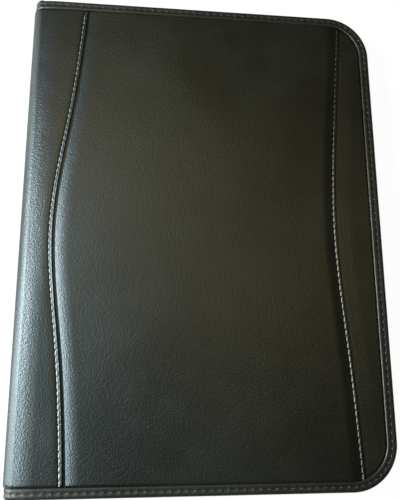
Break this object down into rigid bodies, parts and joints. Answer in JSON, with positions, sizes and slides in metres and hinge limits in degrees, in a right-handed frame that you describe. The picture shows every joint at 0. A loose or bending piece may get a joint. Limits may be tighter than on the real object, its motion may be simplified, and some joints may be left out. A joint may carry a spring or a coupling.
{
  "type": "zippered padfolio",
  "caption": "Soft-covered document case with a padded front panel between wavy sewn seams, bound edges, a zip on three sides, and a writing pad and pockets inside.",
  "frame": {"origin": "centre of the closed case's bounding box, on the outer face of the back cover", "axes": "+X from the spine to the fore-edge, +Y from the tail to the head, +Z from the back cover to the front"},
  "size_m": [0.256, 0.35, 0.027],
  "materials": {
    "leatherette": "satin pebble grain",
    "binding": "satin pebble grain",
    "board": "raw greyboard",
    "foam": "foam padding",
    "lining": "woven lining",
    "tape": "woven zip tape",
    "teeth": "moulded teeth",
    "zip_metal": "black lacquered zinc",
    "pocket": "satin pebble grain",
    "elastic": "woven elastic",
    "card": "grey card",
    "paper": "ruled paper",
    "head_tape": "cloth tape",
    "film": "clear film"
  },
  "bodies": {
    "back_cover": {"back_panel": "leatherette", "back_board": "board", "back_lining": "lining", "back_binding": "binding", "zip_tape_back": "tape", "zip_teeth_back": "teeth", "zip_stop_back": "zip_metal", "zip_bottom_stop": "zip_metal", "pad_slot_panel": "pocket", "pad_backing": "card", "writing_pad_sheets": "paper", "pad_head_tape": "head_tape", "pen_loop": "elastic"},
    "spine": {"spine_panel": "leatherette", "spine_board": "board", "spine_lining": "lining", "spine_head_binding": "binding", "spine_tail_binding": "binding"},
    "front_cover": {"front_spine_strip": "leatherette", "front_main_panel": "leatherette", "front_edge_strip": "leatherette", "front_padding": "foam", "front_board": "board", "front_lining": "lining", "front_binding": "binding", "zip_tape_front": "tape", "zip_teeth_front": "teeth", "zip_stop_front": "zip_metal", "document_pocket": "pocket", "card_pocket_1": "pocket", "card_pocket_2": "pocket", "card_pocket_3": "pocket", "card_window_frame": "pocket", "card_window_film": "film"},
    "zip_slider": {"zip_slider": "zip_metal", "slider_bail": "zip_metal"},
    "zip_pull": {"pull_tab": "zip_metal"}
  },
  "joints": [
    {"name": "spine_fold", "type": "hinge", "parent": "back_cover", "child": "spine", "pos_m": [-0.1261, 0, 0.0019], "axis": [0, -1, 0], "range_deg": [0, 90]},
    {"name": "cover_fold", "type": "hinge", "parent": "spine", "child": "front_cover", "pos_m": [-0.1261, 0, 0.0251], "axis": [0, -1, 0], "range_deg": [0, 90]},
    {"name": "zip_slide", "type": "slide", "parent": "back_cover", "child": "zip_slider", "axis": [1, 0, 0], "range_m": [0, 0.18], "deforming": ["zip_teeth_back", "zip_teeth_front"]},
    {"name": "pull_swing", "type": "hinge", "parent": "zip_slider", "child": "zip_pull", "pos_m": [-0.105, 0.1711, 0.0135], "axis": [0, 0, 1], "range_deg": [0, 150]}
  ],
  "couplings": [
    {"joint": "cover_fold", "follows": "spine_fold", "ratio": 1}
  ]
}
